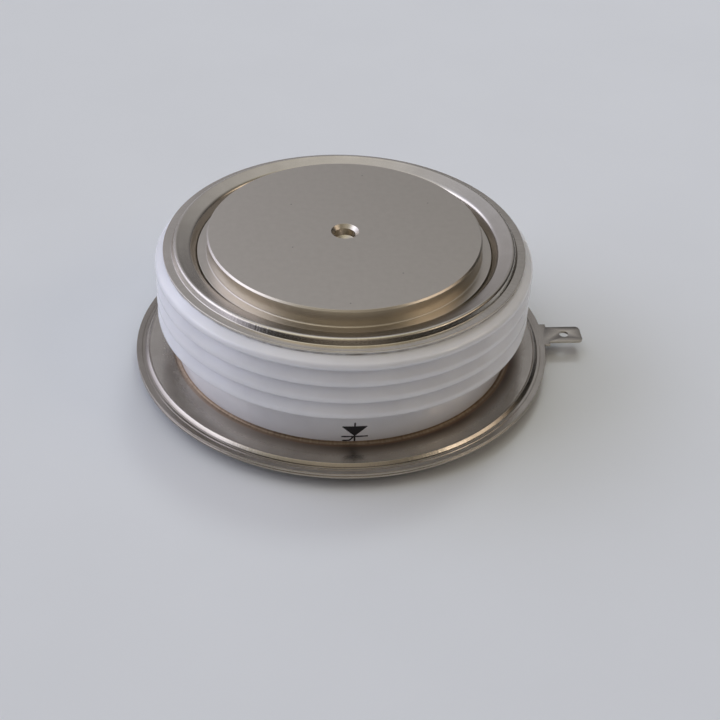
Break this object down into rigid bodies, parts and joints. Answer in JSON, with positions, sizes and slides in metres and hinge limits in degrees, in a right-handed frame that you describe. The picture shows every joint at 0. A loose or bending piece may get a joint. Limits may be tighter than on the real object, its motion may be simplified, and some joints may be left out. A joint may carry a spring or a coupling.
{
  "type": "disc thyristor",
  "caption": "Disc thyristor in a sealed, finned ceramic capsule with flat contact faces, a wide welded flange and blade terminals for cathode and gate.",
  "frame": {"origin": "centre of the cathode contact face, on the capsule's axis; the part stands on this face", "axes": "+Z along the capsule's axis, from the cathode face to the anode face; the cathode blade points 5.5 degrees anticlockwise of +X and the gate blade along +Y"},
  "size_m": [0.0824, 0.0825, 0.0265],
  "materials": {
    "nickel_plated_copper": "satin",
    "nickel_plated_sheet": "satin",
    "glazed_alumina": "gloss",
    "molybdenum": "matte",
    "metallised_silicon": "polished",
    "silicone_rubber": "matte",
    "fluoropolymer": "matte",
    "silver_plated_wire": "satin",
    "spring_steel": "satin"
  },
  "bodies": {
    "root": {"anode_pole_piece": "nickel_plated_copper", "anode_diaphragm": "nickel_plated_sheet", "ceramic_insulator": "glazed_alumina", "cathode_weld_flange": "nickel_plated_sheet", "cathode_diaphragm": "nickel_plated_sheet", "cathode_pole_piece": "nickel_plated_copper", "anode_molybdenum_disc": "molybdenum", "silicon_wafer": "metallised_silicon", "wafer_edge_seal": "silicone_rubber", "cathode_molybdenum_disc": "molybdenum", "centring_ring": "fluoropolymer", "gate_eyelet": "nickel_plated_sheet", "gate_pin": "nickel_plated_sheet", "gate_terminal": "nickel_plated_sheet", "gate_lead": "silver_plated_wire", "gate_lead_sleeve": "fluoropolymer", "gate_insulator_cup": "fluoropolymer", "gate_spring_washer": "spring_steel", "gate_spring": "spring_steel", "gate_contact": "molybdenum"}
  },
  "joints": []
}
